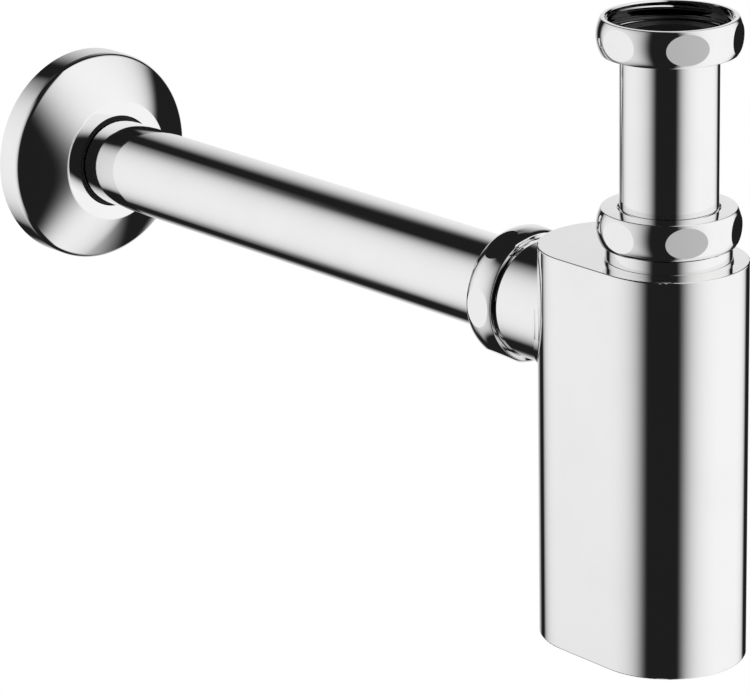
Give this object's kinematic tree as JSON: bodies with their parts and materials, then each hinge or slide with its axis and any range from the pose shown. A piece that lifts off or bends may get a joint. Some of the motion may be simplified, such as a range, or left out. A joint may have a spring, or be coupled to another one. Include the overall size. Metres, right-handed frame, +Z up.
{
  "type": "basin trap",
  "caption": "Chrome bottle trap for a wash basin: slim obround casing, vertical inlet tube with union nut, horizontal outlet tube and round wall rosette.",
  "frame": {"origin": "on the inlet tube's axis, at the inner end of the basin nut's thread, just above the flat washer that the basin's waste seats on", "axes": "+Z up along the inlet tube towards the basin; +Y along the outlet tube towards the wall; the front of the trap faces -Y"},
  "size_m": [0.079, 0.367, 0.2148],
  "materials": {
    "chrome_plate": "polished chrome plate on brass",
    "seal_rubber": "moulded black rubber",
    "nylon": "natural white nylon"
  },
  "bodies": {
    "trap": {"trap_body": "chrome_plate", "base_plate": "chrome_plate", "inlet_neck": "chrome_plate", "outlet_neck": "chrome_plate", "inlet_seal": "seal_rubber", "outlet_seal": "seal_rubber"},
    "inlet_slip": {"inlet_slip_ring": "nylon"},
    "inlet_nut": {"inlet_nut": "chrome_plate"},
    "outlet_slip": {"outlet_slip_ring": "nylon"},
    "outlet_nut": {"outlet_nut": "chrome_plate"},
    "inlet_tube": {"inlet_tube": "chrome_plate", "basin_washer": "seal_rubber"},
    "basin_nut": {"basin_nut": "chrome_plate"},
    "outlet_tube": {"outlet_tube": "chrome_plate"},
    "rosette": {"rosette": "chrome_plate", "rosette_grip_ring": "seal_rubber"},
    "plug_ring": {"plug_seal": "seal_rubber"},
    "cleaning_plug": {"cleaning_plug": "chrome_plate"}
  },
  "joints": [
    {"name": "inlet_tube_slide", "type": "slide", "parent": "trap", "child": "inlet_tube", "axis": [0, 0, 1], "range_m": [-0.013, 0.01]},
    {"name": "basin_nut_turn", "type": "hinge", "parent": "inlet_tube", "child": "basin_nut", "pos_m": [0, 0, 0], "axis": [0, 0, 1], "continuous": true},
    {"name": "inlet_nut_climb", "type": "slide", "parent": "trap", "child": "inlet_slip", "axis": [0, 0, 1], "range_m": [0, 0.00577]},
    {"name": "inlet_nut_turn", "type": "hinge", "parent": "inlet_slip", "child": "inlet_nut", "pos_m": [0, 0, -0.0623], "axis": [0, 0, 1], "range_deg": [0, 900]},
    {"name": "outlet_nut_climb", "type": "slide", "parent": "trap", "child": "outlet_slip", "axis": [0, 1, 0], "range_m": [0, 0.00577]},
    {"name": "outlet_nut_turn", "type": "hinge", "parent": "outlet_slip", "child": "outlet_nut", "pos_m": [0, 0.0674, -0.1009], "axis": [0, 1, 0], "range_deg": [0, 900]},
    {"name": "outlet_tube_slide", "type": "slide", "parent": "trap", "child": "outlet_tube", "axis": [0, 1, 0], "range_m": [-0.0037, 0.008]},
    {"name": "rosette_slide", "type": "slide", "parent": "outlet_tube", "child": "rosette", "axis": [0, 1, 0], "range_m": [-0.21, 0]},
    {"name": "cleaning_plug_drop", "type": "slide", "parent": "trap", "child": "plug_ring", "axis": [0, 0, -1], "range_m": [0, 0.006]},
    {"name": "cleaning_plug_turn", "type": "hinge", "parent": "plug_ring", "child": "cleaning_plug", "pos_m": [0, 0.012, -0.2084], "axis": [0, 0, -1], "range_deg": [0, 1080]}
  ],
  "couplings": [
    {"joint": "inlet_nut_turn", "follows": "inlet_nut_climb", "rad_per_m": 2721.2},
    {"joint": "outlet_nut_turn", "follows": "outlet_nut_climb", "rad_per_m": 2721.2},
    {"joint": "cleaning_plug_turn", "follows": "cleaning_plug_drop", "rad_per_m": 3141.6}
  ]
}
